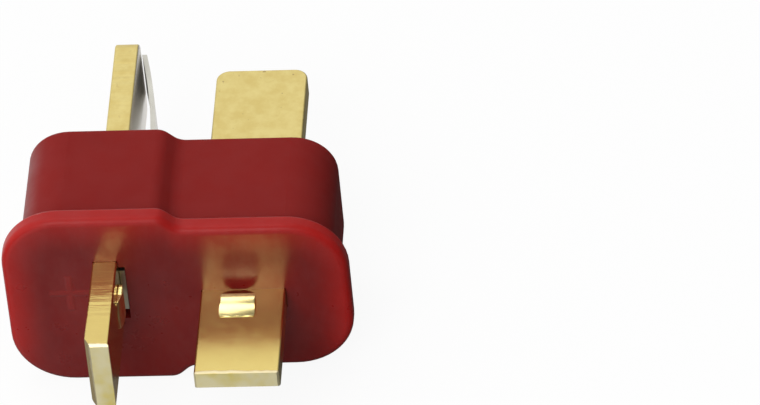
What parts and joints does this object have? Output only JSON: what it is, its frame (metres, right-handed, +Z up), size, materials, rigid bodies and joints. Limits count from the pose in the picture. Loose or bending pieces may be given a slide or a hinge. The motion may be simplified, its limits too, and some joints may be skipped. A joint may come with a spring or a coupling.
{
  "type": "battery lead connector",
  "caption": "Male half of a battery lead connector: flanged moulded shell holding flat gold-plated blades set crosswise, each with a bow spring and a rear solder tab.",
  "frame": {"origin": "centre of the flange's front face, where the other half of the connector comes to rest", "axes": "-Y out of the mating face, along the blades; +Y towards the solder tabs; +X from the upright blade towards the flat blade; +Z up, along the upright blade's width"},
  "size_m": [0.0164, 0.0215, 0.0102],
  "materials": {
    "red_nylon": "satin moulded nylon with a glossier front face",
    "gold_plate": "gold plating over stamped brass, bright with fine shear marks",
    "spring_plate": "plated spring strip"
  },
  "bodies": {
    "root": {"housing": "red_nylon", "contact_upright": "gold_plate", "contact_flat": "gold_plate", "spring_upright": "spring_plate", "spring_flat": "spring_plate"}
  },
  "joints": []
}
